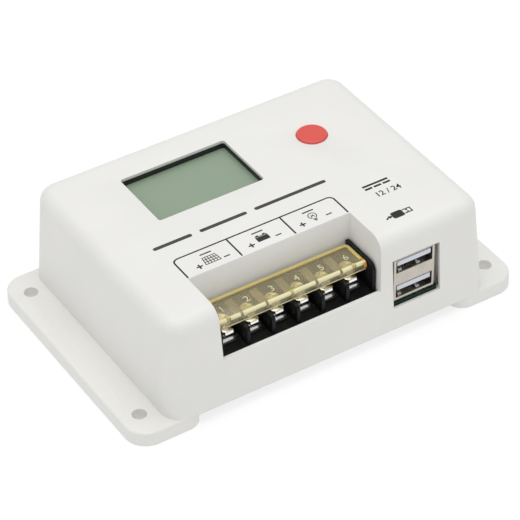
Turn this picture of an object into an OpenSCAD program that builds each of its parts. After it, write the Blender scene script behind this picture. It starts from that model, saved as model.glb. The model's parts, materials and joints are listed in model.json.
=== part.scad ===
// Solar charge controller: a drafted plastic case on two mounting feet, with a
// six-way screw terminal block under a hinged clear cover, a stacked pair of USB
// sockets, a display window and a menu button.
// Origin: centre of the underside of the feet. +Z is up, -Y is the terminal side.

/* [Case] */
// Length of the case at the top of the feet
case_l = 124.6; // [122:0.2:127]
// Depth of the case at the top of the feet
case_d = 93.4; // [92:0.2:96]
// Height of the whole unit
unit_h = 42.6; // [42.6:0.1:46]
// Draft angle of the case walls
draft = 3.46; // [2:0.02:3.6]
// Radius of the upright corners
corner_r = 7; // [6:0.5:9]
// Radius of the rounding round the top face
top_r = 5.5; // [4:0.5:6]
// Thickness of the side walls
wall = 2.5; // [2:0.1:2.8]
// Thickness of the top wall
roof = 2.2; // [2:0.1:2.4]

/* [Feet] */
// Length over both feet
unit_l = 150; // [148:0.5:156]
// Thickness of a foot
foot_t = 5.3; // [5:0.1:6]
// Radius of the outer corners of a foot
foot_r = 8; // [5:0.5:10]
// Distance between the inner ends of the feet
foot_gap = 99; // [97:0.5:100]
// Height of the case's lower rim above the mounting surface
rim_z = 4.7; // [4.2:0.1:4.8]
// Spacing of the mounting holes along the length
hole_dx = 136.2; // [134:0.1:138]
// Spacing of the mounting holes across the depth
hole_dy = 72.8; // [66:0.1:76]
// Diameter of the mounting holes
hole_d = 5; // [4:0.1:5.5]

/* [Terminals] */
// Number of ways in the terminal block
ways = 6; // [6]
// Distance between neighbouring ways
pitch = 9.5; // [9.5]
// Middle of the terminal bay along the length
bay_cx = -11.4; // [-12:0.1:-11]
// Clear width of the bay at its front lip
bay_w = 60.4; // [60.4:0.1:61]
// Place of the bay's back wall at the top face
bay_y = -26.24; // [-26.4:0.02:-26]
// Height of the bay's front lip
lip_z = 22.5; // [22:0.1:23]

/* [Display and button] */
// Width of the display window
win_w = 40.6; // [38:0.1:41]
// Depth of the display window
win_d = 26; // [24:0.1:26.4]
// Middle of the window along the length
win_cx = -14.4; // [-15:0.1:-14]
// Middle of the window across the depth
win_cy = 17.4; // [17:0.1:18]
// Diameter of the menu button
button_d = 10.8; // [9:0.1:11]
// Middle of the button along the length
button_x = 32.5; // [31:0.1:34]
// Middle of the button across the depth
button_y = 16.3; // [15:0.1:18]

/* [USB sockets] */
// Left end of the opening in the front wall
usb_x0 = 23.4; // [23:0.1:23.6]
// Right end of the opening in the front wall
usb_x1 = 42.7; // [42:0.1:43]
// Top of the opening in the front wall
usb_top = 32.6; // [32.4:0.1:33]

/* [Hidden] */
$fn = 48;
tilt = tan(draft);
hull_fn = 32;
eps = 0.01;

// Case levels
roof_z = unit_h - roof;
plate_t = 2;
plate_z = rim_z + plate_t;
pcb_t = 1.6;
pcb_z0 = 13.5;
pcb_z = pcb_z0 + pcb_t;

// Main board and base plate outlines
pcb_l = foot_gap - 1.8;
pcb_d = 85.2;
plate_l = foot_gap - 0.6;
plate_d = 87.2;
plate_r = 3;
boss_x = 45.5;
boss_y = 38.9;
boss_r = 3.4;
boss_bore_r = 1.2;
standoff_x = 44.6;
standoff_y = 20.5;
standoff_r = 3;
stud_r = 2;

// Feet: inner corners, and the cored room below with its bosses and ribs
foot_in_r = 6;
foot_skirt = 2.6;
foot_core_h = 2.4;
foot_boss_r = 5;
foot_rib_half = 0.8;
foot_rib_ys = [-18, 0, 18];

// Cuts through the front wall start here, clear of the case
clear_y = -60;

// Bay and terminal block
bay_draft_x = tan(2);
bay_draft_y = tan(1.5);
bay_x0 = bay_cx - bay_w / 2;
bay_x1 = bay_cx + bay_w / 2;
block_l = 59.8;
block_y0 = -44.3;
block_y1 = -27.1;
well_t = 2;
well_z = pcb_z + 1.4;
barrier_t = 1.3;
cell_w = pitch - barrier_t;
end_in = block_l / 2 - barrier_t;
ledge_z = 21.6;
seat_z = 22.2;
seat_y = -39.5;
back_y = -28.1;
back_z = 29.6;
strip_t = 1.5;
strip_w = 5.2;
strip_y0 = -39.3;
tail_y0 = -30.6;
tail_y1 = -29.6;
tail_half = 1.5;
tail_z = pcb_z0 - 1.4;
barrier_z = 28.8;
barrier_r = 2;
end_wall_z = 32.7;
end_wall_r = 3.2;
barrier_y = -43.1;
screw_y = -34.6;
thread_r = 1.48;
thread_hole_r = 1.55;
thread_l = 7.1;
thread_room_r = 1.8;
thread_room_z = 16.2;
clamp_z = 25.4;
clamp_t = 1.1;
clamp_w = 4.8;
clamp_front = 4.6;
clamp_back = 3.7;
clamp_cut = 0.9;
head_r = 2.7;
head_h = 2.1;
head_bevel = 0.5;

// Hinged terminal cover
hinge_y = -29.3;
hinge_z = 30.9;
hinge_r = 0.8;
cover_half = end_in - 0.1;
cover_y0 = -39.6;
cover_y1 = -28;
cover_z0 = 30.7;
cover_z1 = 31.7;
cover_skirt_z = 29;
cover_rim_w = 1;
cover_rail_w = 1.4;
cover_rail_h = 0.5;

// Display stack, from the window down
bezel_z1 = unit_h - 1.15;
bezel_z0 = 39.3;
glass_z0 = bezel_z0 - 2.8;
board_z1 = glass_z0 - 3;
board_z0 = board_z1 - pcb_t;
glass_w = win_w + 3.8;
glass_d = win_d + 3.8;
bezel_w = win_w + 5.4;
bezel_d = win_d + 5.4;
rebate_w = win_w + 5.8;
rebate_d = win_d + 5.8;
board_x0 = -44;
board_x1 = 42;
board_y0 = -4;
board_y1 = 35.4;
post_pts = [[-41, -0.5], [39, -0.5], [-41, 31.5], [39, 31.5]];
post_r = 2.75;
post_screw_r = 0.95;
lcd_pins = 12;
lcd_pin_y = win_cy + glass_d / 2 + 0.3;
header_pins = 8;
header_y = 33.8;
header_x0 = 14;
pin_pitch = 2.54;

// Menu button and its switch
switch_half = 3;
switch_z1 = board_z1 + 3.5;
switch_pin_x = 3.25;
switch_pin_y = 2.25;
plunger_z1 = switch_z1 + 1;
plunger_r = 1.75;
cap_top = unit_h + 0.8;
cap_bevel = 0.5;
cap_room_r = 4.2;
cap_post_r = 2.1;
cap_flange_r = 6.5;
cap_flange_z = roof_z - 1.7;
cap_flange_t = 1.5;

// Stacked USB connector
con_x0 = 24.4;
con_x1 = 40.6;
con_cx = (con_x0 + con_x1) / 2;
con_y0 = -45;
con_y1 = -27.6;
con_h = 17.2;
con_t = 0.4;
con_lip = 0.9;
port_h = 5.3;
port_zs = [pcb_z + 1.3, pcb_z + 11.6];
cavity_y1 = -33;
tongue_w = 13.2;
tongue_t = 1.85;
tongue_y0 = -44.8;
tongue_drop = 0.6;
contact_xs = [-3.9, -1.2, 1.2, 3.9];
contact_y0 = -43.4;
contact_t = 0.25;
contact_row_ys = [-29.4, -28.8];

// Power transistors on the base plate
fet_xs = [-33, -19, -5, 9];
fet_y = 8;
fet_z = plate_z + 0.3;
fet_tab_t = 1.3;
fet_hole_y = fet_y + 12.9;
fet_lead_y = fet_y - 2.6;

// Pan-head screws inside
pan_r = 2.8;
pan_h = 1.9;

// Parts on the main board
can_pts = [[-33, -14.6], [-18.5, -14.6]];
can_r = 6.25;
can_h = 20;
coil_x = -2;
coil_y = -14.5;
chip_pts = [[-34, 1.5], [-20, 1.5], [36, 4]];
cpu_x = 16;
cpu_y = 15;
cpu_w = 10;
diode_pts = [[12, -17], [19.5, -17], [27, -17]];
shunt_x = 14;
shunt_y = -8;
crystal_x = 29;
crystal_y = 20;
res_pts = [for (i = [0:5], j = [0:1]) [-38 + 5 * i, 26 + 5 * j]];
cap_pts = [for (i = [0:4]) [24 + 4 * i, 12]];

// Middle of way i along the length, counted from 1 at the left
function way_x(i) = bay_cx + pitch * (i - (ways + 1) / 2);
// Half length and half depth of the case wall's outside at height z
function half_l(z) = case_l / 2 - tilt * (z - foot_t);
function half_d(z) = case_d / 2 - tilt * (z - foot_t);

// Box between two corners
module box(a, b) {
    translate(a) cube(b - a);
}

// Upright plate with rounded corners, from z0 to z1
module slab(l, w, r, z0, z1) {
    translate([0, 0, z0]) linear_extrude(z1 - z0) {
        square([l - 2 * r, w], center = true);
        square([l, w - 2 * r], center = true);
        for (sx = [-1, 1], sy = [-1, 1])
            translate([sx * (l / 2 - r), sy * (w / 2 - r)]) circle(r);
    }
}

module mirror_four(x, y) {
    for (sx = [-1, 1], sy = [-1, 1]) translate([sx * x, sy * y, 0]) children();
}

// Drafted body with rounded upright corners and a rounded top edge
module drafted_body(inset, z0, z1, r, edge_r) {
    hull() {
        mirror_four(half_l(z0) - inset - r, half_d(z0) - inset - r)
            translate([0, 0, z0]) cylinder(r = r, h = eps, $fn = hull_fn);
        mirror_four(half_l(z1 - edge_r) - inset - r, half_d(z1 - edge_r) - inset - r)
            translate([0, 0, z1 - edge_r]) rotate_extrude($fn = hull_fn) {
                intersection() {
                    translate([r - edge_r, 0]) circle(edge_r, $fn = hull_fn);
                    square([r, edge_r]);
                }
                square([r - edge_r, edge_r]);
            }
    }
}

// The bay's room grown by a margin on its sides and back, between two heights
module bay_room(grow, z0, z1) {
    hull() for (z = [z0, z1]) {
        dx = bay_draft_x * (z - lip_z) + grow;
        back = bay_y - bay_draft_y * (unit_h - z) + grow;
        box([bay_x0 - dx, clear_y, z - eps], [bay_x1 + dx, back, z]);
    }
}

module display_posts() {
    for (p = post_pts)
        translate([p[0], p[1], board_z1]) difference() {
            cylinder(r = post_r, h = roof_z - board_z1 + eps);
            translate([0, 0, -1]) cylinder(r = post_screw_r, h = 5.5);
        }
}

module housing() {
    color("whitesmoke") {
        difference() {
            union() {
                difference() {
                    drafted_body(0, rim_z, unit_h, corner_r, top_r);
                    difference() {
                        drafted_body(wall, rim_z - 1, roof_z, corner_r - wall, top_r - roof - 0.1);
                        bay_room(well_t, well_z, unit_h + 1);
                        mirror_four(boss_x, boss_y)
                            translate([0, 0, plate_z]) cylinder(r = boss_r, h = unit_h);
                    }
                    bay_room(0, lip_z, unit_h + 1);
                    box([bay_x0 + 0.1, block_y0 - 0.2, pcb_z],
                        [bay_x1 - 0.1, block_y1 + 0.15, lip_z + 0.1]);
                    translate([win_cx, win_cy, 0]) slab(win_w, win_d, 1, roof_z - 3, unit_h + 1);
                    translate([win_cx, win_cy, 0])
                        slab(rebate_w, rebate_d, 1.2, roof_z - 1, bezel_z1 + 0.05);
                    translate([button_x, button_y, roof_z - 1])
                        cylinder(d = button_d + 0.3, h = roof + 2);
                    box([usb_x0, clear_y, pcb_z0 - 0.1], [usb_x1, con_y1, usb_top]);
                }
                foot(1);
                foot(-1);
            }
            mirror_four(hole_dx / 2, hole_dy / 2)
                translate([0, 0, -1]) cylinder(d = hole_d, h = foot_t + 2);
            mirror_four(boss_x, boss_y)
                translate([0, 0, plate_z - 1]) cylinder(r = boss_bore_r, h = 13);
        }
        display_posts();
    }
}

// One foot: a pad under the end of the case that runs out as a flange, cored from below
module foot(side) {
    length = (unit_l - foot_gap) / 2;
    cx = side * (foot_gap / 2 + length / 2);
    difference() {
        translate([cx, 0, 0]) foot_pad(length, case_d, foot_r, foot_in_r, side, foot_t);
        difference() {
            translate([cx, 0, -1])
                foot_pad(length - 2 * foot_skirt, case_d - 2 * foot_skirt, foot_r - foot_skirt,
                         foot_in_r - foot_skirt, side, foot_core_h + 1);
            mirror_four(hole_dx / 2, hole_dy / 2) cylinder(r = foot_boss_r, h = foot_t);
            for (y = foot_rib_ys)
                box([cx - length / 2, y - foot_rib_half, 0], [cx + length / 2, y + foot_rib_half, foot_t]);
        }
    }
}

// Outline of a foot with one radius on its outer corners and another on its inner ones
module foot_pad(l, w, out_r, in_r, side, h) {
    linear_extrude(h) {
        translate([side * (in_r - out_r) / 2, 0]) square([l - in_r - out_r, w], center = true);
        translate([side * (l - out_r) / 2, 0]) square([out_r, w - 2 * out_r], center = true);
        translate([-side * (l - in_r) / 2, 0]) square([in_r, w - 2 * in_r], center = true);
        for (sy = [-1, 1]) {
            translate([side * (l / 2 - out_r), sy * (w / 2 - out_r)]) circle(out_r);
            translate([-side * (l / 2 - in_r), sy * (w / 2 - in_r)]) circle(in_r);
        }
    }
}

module base_plate() {
    color("silver") difference() {
        slab(plate_l, plate_d, plate_r, rim_z, plate_z);
        mirror_four(boss_x, boss_y) {
            translate([0, 0, rim_z - 1]) cylinder(r = 1.6, h = plate_t + 2);
            translate([0, 0, rim_z - eps]) cylinder(r1 = 2.9, r2 = 1.6, h = 1.3);
        }
        mirror_four(standoff_x, standoff_y)
            translate([0, 0, rim_z - 1]) cylinder(r = stud_r, h = plate_t + 2);
        for (x = fet_xs)
            translate([x, fet_hole_y, rim_z - 1]) cylinder(r = 1.35, h = plate_t + 2);
    }
}

module base_screws() {
    color("gray") mirror_four(boss_x, boss_y) difference() {
        union() {
            translate([0, 0, rim_z + 0.05]) cylinder(r1 = 2.75, r2 = 1.45, h = 1.3);
            translate([0, 0, rim_z + 1.3]) cylinder(r = 1.15, h = 10);
        }
        cross_recess(rim_z + 0.05, 2.6, 0.9);
    }
}

// Cross-shaped driver recess that reaches the given depth either side of height z
module cross_recess(z, width, depth) {
    for (a = [0, 90])
        translate([0, 0, z]) rotate([0, 0, a])
            cube([width, 0.62, 2 * depth], center = true);
}

module standoffs() {
    color("goldenrod") mirror_four(standoff_x, standoff_y) difference() {
        union() {
            translate([0, 0, plate_z]) rotate([0, 0, 30])
                cylinder(r = standoff_r, h = pcb_z0 - plate_z, $fn = 6);
            translate([0, 0, rim_z + 0.1]) cylinder(r = stud_r - 0.02, h = plate_t);
        }
        translate([0, 0, plate_z + 1]) cylinder(r = 1.5, h = 10);
    }
}

module main_pcb() {
    color("darkgreen") difference() {
        union() {
            slab(pcb_l, pcb_d, 2, pcb_z0, pcb_z);
            box([usb_x0 + 0.4, con_y0 - 0.4, pcb_z0], [usb_x1 - 1.3, -pcb_d / 2 + 1, pcb_z]);
        }
        for (sx = [-1, 1], sy = [-1, 1])
            translate([sx * (boss_x + 2), sy * (boss_y + 2), pcb_z0 - 1])
                slab(12, 12, 1, 0, pcb_t + 2);
        mirror_four(standoff_x, standoff_y)
            translate([0, 0, pcb_z0 - 1]) cylinder(r = 1.6, h = pcb_t + 2);
        for (i = [1:ways]) tail_slot(i, 0.15);
        for (x = fet_xs, k = [-1:1])
            translate([x + k * pin_pitch, fet_lead_y, pcb_z0 - 1]) cylinder(r = 0.65, h = pcb_t + 2);
        for (k = [0:header_pins - 1])
            translate([header_x0 + k * pin_pitch, header_y, pcb_z0 - 1])
                cylinder(r = 0.5, h = pcb_t + 2);
    }
}

// Room for the solder tail of way i, with a margin
module tail_slot(i, grow) {
    box([way_x(i) - tail_half - grow, tail_y0 - grow, tail_z],
        [way_x(i) + tail_half + grow, tail_y1 + grow, seat_z + eps]);
}

module pcb_screws() {
    color("gray") mirror_four(standoff_x, standoff_y) pan_screw(pcb_z, 1.45, 6.5);
}

// Pan-head screw whose head sits at height z, with a shaft that runs down from it
module pan_screw(z, shaft_r, shaft_l) {
    difference() {
        union() {
            translate([0, 0, z]) cylinder(r = pan_r, h = pan_h);
            translate([0, 0, z - shaft_l]) cylinder(r = shaft_r, h = shaft_l + 0.1);
        }
        cross_recess(z + pan_h, 3, 1);
    }
}

// Side view of a barrier: upright front, rounded top front corner
module barrier_profile(top, corner, back) {
    difference() {
        polygon([[barrier_y, pcb_z], [barrier_y, top], [back, top], [back, pcb_z]]);
        difference() {
            translate([barrier_y - 1, top - corner]) square([corner + 1, corner + 1]);
            translate([barrier_y + corner, top - corner]) circle(corner);
        }
    }
}

// A wall standing in the YZ plane, from x0 to x1
module upright_wall(x0, x1) {
    translate([x0, 0, 0]) rotate([90, 0, 90]) linear_extrude(x1 - x0) children();
}

module terminal_housing() {
    x0 = bay_cx - block_l / 2;
    x1 = bay_cx + block_l / 2;
    color("#1b1b1c") difference() {
        union() {
            box([x0, block_y0, pcb_z], [x1, block_y1, ledge_z]);
            box([x0, seat_y, pcb_z], [x1, block_y1, seat_z]);
            box([x0, back_y, pcb_z], [x1, block_y1, back_z]);
            for (i = [1:ways - 1])
                upright_wall(way_x(i) + cell_w / 2, way_x(i + 1) - cell_w / 2)
                    barrier_profile(barrier_z, barrier_r, block_y1);
            for (x = [x0, x1 - barrier_t])
                upright_wall(x, x + barrier_t) barrier_profile(end_wall_z, end_wall_r, block_y1);
        }
        for (i = [1:ways]) {
            translate([way_x(i), screw_y, thread_room_z]) cylinder(r = thread_room_r, h = 10);
            tail_slot(i, 0.1);
        }
        translate([x0 - 1, hinge_y, hinge_z]) rotate([0, 90, 0])
            cylinder(r = hinge_r + 0.05, h = block_l + 2);
    }
}

module terminal_contacts() {
    color("lightgray") for (i = [1:ways]) difference() {
        union() {
            box([way_x(i) - strip_w / 2, strip_y0, seat_z],
                [way_x(i) + strip_w / 2, tail_y1, seat_z + strip_t]);
            box([way_x(i) - tail_half, tail_y0, tail_z], [way_x(i) + tail_half, tail_y1, seat_z + 1]);
        }
        translate([way_x(i), screw_y, seat_z - 1]) cylinder(r = thread_hole_r, h = strip_t + 2);
    }
}

module clamp_plate(i) {
    half = clamp_w / 2;
    front = -clamp_front;
    color("gainsboro") translate([way_x(i), screw_y, clamp_z]) difference() {
        linear_extrude(clamp_t)
            polygon([[-half, clamp_back], [-half, front + clamp_cut], [-half + clamp_cut, front],
                     [half - clamp_cut, front], [half, front + clamp_cut], [half, clamp_back]]);
        translate([0, 0, -1]) cylinder(r = thread_hole_r, h = clamp_t + 2);
    }
}

module terminal_screw(i) {
    color("silver") translate([way_x(i), screw_y, clamp_z + clamp_t]) difference() {
        union() {
            cylinder(r = head_r, h = head_h - head_bevel);
            translate([0, 0, head_h - head_bevel])
                cylinder(r1 = head_r, r2 = head_r - 0.6, h = head_bevel);
            translate([0, 0, -thread_l]) cylinder(r = thread_r, h = thread_l + 0.1);
        }
        cross_recess(head_h, 3.6, 1.1);
    }
}

// Flat lid with a drop skirt in front, a raised front rail, side rims and two hinge pins
module terminal_cover() {
    color("#d8c850") translate([bay_cx, 0, 0]) {
        box([-cover_half, cover_y0, cover_z0], [cover_half, cover_y1, cover_z1]);
        box([-cover_half, cover_y0, cover_skirt_z], [cover_half, cover_y0 + cover_rim_w, cover_z1]);
        box([-cover_half, cover_y0, cover_z1 - eps],
            [cover_half, cover_y0 + cover_rail_w, cover_z1 + cover_rail_h]);
        for (x = [-cover_half, cover_half - cover_rim_w])
            box([x, cover_y0, cover_skirt_z], [x + cover_rim_w, hinge_y, cover_z1]);
        for (s = [-1, 1])
            translate([s * cover_half, hinge_y, hinge_z]) rotate([0, s * 90, 0])
                translate([0, 0, -cover_rim_w]) cylinder(r = hinge_r, h = cover_rim_w + 1.2);
    }
}

module usb_shell() {
    band0 = port_zs[0] + port_h;
    color("lightsteelblue") difference() {
        box([con_x0, con_y0, pcb_z], [con_x1, con_y1, pcb_z + con_h]);
        for (z = port_zs) {
            box([con_x0 + con_lip, con_y0 - 1, z], [con_x1 - con_lip, con_y0 + 1, z + port_h]);
            box([con_x0 + con_t, con_y0 + con_t, z],
                [con_x1 - con_t, con_y1 - con_t, z + port_h]);
        }
        box([con_x0 + con_t, con_y0 + con_t, pcb_z - 1],
            [con_x1 - con_t, con_y1 - con_t, port_zs[0] - con_t]);
        box([con_x0 + con_t, con_y0 + con_t, band0 + con_t],
            [con_x1 - con_t, con_y1 - con_t, port_zs[1] - con_t]);
        box([con_x0 + con_t, cavity_y1, pcb_z - 1],
            [con_x1 - con_t, con_y1 - con_t, port_zs[1] + eps]);
    }
}

module usb_insulator() {
    gap = 0.05;
    color("#dfe6ee") difference() {
        union() {
            box([con_x0 + con_t + gap, con_y0 + con_t + gap, pcb_z],
                [con_x1 - con_t - gap, con_y1 - con_t - gap, port_zs[0] - con_t - gap]);
            box([con_x0 + con_t + gap, cavity_y1 + 0.1, pcb_z],
                [con_x1 - con_t - gap, con_y1 - con_t - gap, port_zs[1] + port_h - gap]);
            for (z = port_zs)
                box([con_cx - tongue_w / 2, tongue_y0, z + port_h - tongue_drop - tongue_t],
                    [con_cx + tongue_w / 2, cavity_y1 + 0.2, z + port_h - tongue_drop]);
        }
        usb_contact_set();
    }
}

module usb_contacts() {
    color("gold") usb_contact_set();
}

// Four strips under each tongue, with tails that drop to the board behind
module usb_contact_set() {
    for (p = [0:1], x = contact_xs) {
        under = port_zs[p] + port_h - tongue_drop - tongue_t;
        back = contact_row_ys[p] + contact_t;
        box([con_cx + x - 0.5, contact_y0, under], [con_cx + x + 0.5, back, under + contact_t]);
        box([con_cx + x - 0.3, contact_row_ys[p], pcb_z], [con_cx + x + 0.3, back, under + 0.1]);
    }
}

// Hollow cap with a flange that stays under the top wall and a post over the switch
module button_cap() {
    flange_top = cap_flange_z + cap_flange_t;
    color("crimson") translate([button_x, button_y, 0]) {
        difference() {
            union() {
                translate([0, 0, flange_top]) cylinder(d = button_d, h = cap_top - flange_top - cap_bevel);
                translate([0, 0, cap_top - cap_bevel])
                    cylinder(d1 = button_d, d2 = button_d - 2 * cap_bevel, h = cap_bevel);
                translate([0, 0, cap_flange_z]) cylinder(r = cap_flange_r, h = cap_flange_t);
            }
            translate([0, 0, cap_flange_z - 1]) cylinder(r = cap_room_r, h = cap_top - cap_flange_z - 1);
        }
        translate([0, 0, plunger_z1]) cylinder(r = cap_post_r, h = cap_top - plunger_z1 - 1);
    }
}

module switch_plunger() {
    color("black") translate([button_x, button_y, switch_z1 - 1.2])
        cylinder(r = plunger_r, h = plunger_z1 - switch_z1 + 1.2);
}

module switch_body() {
    color("dimgray") translate([button_x, button_y, 0]) {
        difference() {
            box([-switch_half, -switch_half, board_z1], [switch_half, switch_half, switch_z1]);
            translate([0, 0, switch_z1 - 1.8]) cylinder(r = plunger_r + 0.05, h = 3);
        }
        for (sx = [-1, 1], sy = [-1, 1])
            translate([sx * switch_pin_x, sy * switch_pin_y, board_z0 - 0.8])
                box([-0.25, -0.35, 0], [0.25, 0.35, 4]);
    }
}

module display_pcb() {
    color("darkgreen") difference() {
        box([board_x0, board_y0, board_z0], [board_x1, board_y1, board_z1]);
        for (p = post_pts)
            translate([p[0], p[1], board_z0 - 1]) cylinder(r = 1.3, h = pcb_t + 2);
        for (sx = [-1, 1], sy = [-1, 1])
            translate([button_x + sx * switch_pin_x, button_y + sy * switch_pin_y, board_z0 - 1])
                cylinder(r = 0.6, h = pcb_t + 2);
        for (k = [0:lcd_pins - 1])
            translate([lcd_pin_x(k), lcd_pin_y, board_z0 - 1]) cylinder(r = 0.45, h = pcb_t + 2);
        for (k = [0:header_pins - 1])
            translate([header_x0 + k * pin_pitch, header_y, board_z0 - 1])
                cylinder(r = 0.5, h = pcb_t + 2);
    }
}

function lcd_pin_x(k) = win_cx + (k - (lcd_pins - 1) / 2) * pin_pitch;

module display_screws() {
    color("gray") for (p = post_pts) translate([p[0], p[1], 0]) {
        difference() {
            translate([0, 0, board_z0 - 1.3]) cylinder(r = 2, h = 1.3);
            cross_recess(board_z0 - 1.3, 2.2, 0.7);
        }
        translate([0, 0, board_z0 - 0.1]) cylinder(r = 0.9, h = 5.6);
    }
}

module lcd_bezel() {
    color("black") translate([win_cx, win_cy, 0]) difference() {
        slab(bezel_w, bezel_d, 1, bezel_z0, bezel_z1);
        slab(win_w + 0.2, win_d + 0.2, 0.8, bezel_z0 - 1, bezel_z1 + 1);
    }
}

module lcd_glass() {
    color("#90a58f") translate([win_cx, win_cy, 0])
        box([-glass_w / 2, -glass_d / 2, glass_z0], [glass_w / 2, glass_d / 2, bezel_z0]);
}

module lcd_backlight() {
    color("white") translate([win_cx, win_cy, 0])
        box([-glass_w / 2, -glass_d / 2, board_z1], [glass_w / 2, glass_d / 2, glass_z0]);
}

module lcd_leads() {
    color("silver") for (k = [0:lcd_pins - 1])
        box([lcd_pin_x(k) - 0.25, lcd_pin_y - 0.2, board_z0 - 0.8],
            [lcd_pin_x(k) + 0.25, lcd_pin_y + 0.2, bezel_z0 - 0.8]);
}

module header_strips() {
    x0 = header_x0 - pin_pitch / 2;
    x1 = header_x0 + (header_pins - 0.5) * pin_pitch;
    color("#222222") difference() {
        union() {
            box([x0, header_y - 1.25, pcb_z], [x1, header_y + 1.25, pcb_z + 2.5]);
            box([x0, header_y - 1.25, board_z0 - 8.5], [x1, header_y + 1.25, board_z0]);
        }
        for (k = [0:header_pins - 1]) header_pin(k, 0.03);
    }
}

module header_pin(k, grow) {
    half = 0.32 + grow;
    box([header_x0 + k * pin_pitch - half, header_y - half, pcb_z0 - 1.4],
        [header_x0 + k * pin_pitch + half, header_y + half, board_z1 + 0.8]);
}

module header_leads() {
    color("gold") for (k = [0:header_pins - 1]) header_pin(k, 0);
}

module mosfet_bodies() {
    color("#202020") for (x = fet_xs)
        box([x - 5.05, fet_y, fet_z + fet_tab_t], [x + 5.05, fet_y + 9.2, fet_z + 4.5]);
}

module mosfet_leadframes() {
    color("lightgray") for (x = fet_xs) {
        difference() {
            box([x - 5, fet_y + 0.2, fet_z], [x + 5, fet_y + 15.6, fet_z + fet_tab_t]);
            translate([x, fet_hole_y, fet_z - 1]) cylinder(r = 1.85, h = 4);
        }
        for (k = [-1:1]) {
            box([x + k * pin_pitch - 0.35, fet_lead_y - 0.25, fet_z + 2.2],
                [x + k * pin_pitch + 0.35, fet_y, fet_z + 2.7]);
            box([x + k * pin_pitch - 0.35, fet_lead_y - 0.25, fet_z + 2.2],
                [x + k * pin_pitch + 0.35, fet_lead_y + 0.25, pcb_z + 1]);
        }
    }
}

module mosfet_screws() {
    color("gray") for (x = fet_xs) translate([x, fet_hole_y, 0])
        pan_screw(fet_z + fet_tab_t, 1.3, fet_z + fet_tab_t - rim_z - 0.2);
}

module thermal_pads() {
    color("lightpink") for (x = fet_xs) difference() {
        box([x - 5.8, fet_y - 0.4, plate_z], [x + 5.8, fet_y + 16.2, fet_z]);
        translate([x, fet_hole_y, plate_z - 1]) cylinder(r = 1.9, h = 3);
    }
}

module electrolytic_capacitors() {
    color("#23304a") for (p = can_pts) translate([p[0], p[1], pcb_z]) rotate_extrude()
        polygon([[0, 0], [can_r - 0.6, 0], [can_r, 0.6], [can_r, 2], [can_r - 0.45, 2.6],
                 [can_r, 3.2], [can_r, can_h - 0.6], [can_r - 0.6, can_h], [can_r - 1.4, can_h],
                 [can_r - 1.4, can_h - 0.3], [0, can_h - 0.3]]);
}

// Drum core: two flanges and a waist that carries the winding
module inductor_core() {
    color("#3a3a3c") translate([coil_x, coil_y, pcb_z]) {
        cylinder(r = 6, h = 1.4);
        translate([0, 0, 1.3]) cylinder(r = 3, h = 5.4);
        translate([0, 0, 6.6]) cylinder(r = 6, h = 1.4);
    }
}

module inductor_winding() {
    turns = 6;
    color("chocolate") translate([coil_x, coil_y, pcb_z + 1.4]) rotate_extrude() {
        translate([3.02, 0.1]) square([1.9, 5]);
        for (k = [0:turns - 1]) translate([4.9, 0.5 + k * 0.84]) circle(0.42);
    }
}

module microcontroller() {
    color("#1c1c1e") translate([cpu_x, cpu_y, pcb_z])
        box([-cpu_w / 2, -cpu_w / 2, 0.1], [cpu_w / 2, cpu_w / 2, 1.5]);
}

module driver_chips() {
    color("#1c1c1e") for (p = chip_pts)
        box([p[0] - 2.45, p[1] - 1.95, pcb_z + 0.15], [p[0] + 2.45, p[1] + 1.95, pcb_z + 1.6]);
}

module chip_leads() {
    color("silver") {
        for (p = chip_pts, k = [0:3], s = [-1, 1])
            box([p[0] - 1.9 + k * 1.27 - 0.2, p[1] + s * 2.5 - 0.55, pcb_z],
                [p[0] - 1.9 + k * 1.27 + 0.2, p[1] + s * 2.5 + 0.55, pcb_z + 0.6]);
        for (k = [-5:5], a = [0, 90, 180, 270])
            translate([cpu_x, cpu_y, 0]) rotate([0, 0, a])
                box([k * 0.8 - 0.16, cpu_w / 2, pcb_z], [k * 0.8 + 0.16, cpu_w / 2 + 1, pcb_z + 0.5]);
    }
}

module diodes() {
    color("#26262a") for (p = diode_pts) translate([p[0], p[1], pcb_z]) {
        box([-2, -3.4, 0], [2, 3.4, 2.2]);
        box([-1.5, -4, 0], [1.5, 4, 0.9]);
    }
}

module current_shunt() {
    color("silver") translate([shunt_x, shunt_y, pcb_z]) {
        box([-7, -1.5, 1.6], [7, 1.5, 2.6]);
        for (s = [-1, 1])
            box([s * 6.5 - 0.5, -1.5, 0], [s * 6.5 + 0.5, 1.5, 2.6]);
    }
}

module crystal() {
    color("silver") translate([crystal_x, crystal_y, pcb_z]) slab(10.6, 4.2, 2, 0, 3.5);
}

module chip_resistors() {
    color("#2b2b2b") for (p = res_pts)
        box([p[0] - 1, p[1] - 0.62, pcb_z], [p[0] + 1, p[1] + 0.62, pcb_z + 0.55]);
}

module chip_capacitors() {
    color("tan") for (p = cap_pts)
        box([p[0] - 0.62, p[1] - 1, pcb_z], [p[0] + 0.62, p[1] + 1, pcb_z + 0.8]);
}

module thermistor() {
    color("#20202a") translate([-26, 23, pcb_z0 - 1.25]) {
        sphere(r = 1.25);
        cylinder(r = 0.4, h = 1.25);
    }
}

housing();
base_plate();
base_screws();
standoffs();
main_pcb();
pcb_screws();
terminal_housing();
terminal_contacts();
for (i = [1:ways]) {
    clamp_plate(i);
    terminal_screw(i);
}
terminal_cover();
usb_shell();
usb_insulator();
usb_contacts();
button_cap();
switch_plunger();
switch_body();
display_pcb();
display_screws();
lcd_bezel();
lcd_glass();
lcd_backlight();
lcd_leads();
header_strips();
header_leads();
mosfet_bodies();
mosfet_leadframes();
mosfet_screws();
thermal_pads();
electrolytic_capacitors();
inductor_core();
inductor_winding();
microcontroller();
driver_chips();
chip_leads();
diodes();
current_shunt();
crystal();
chip_resistors();
chip_capacitors();
thermistor();
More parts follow.
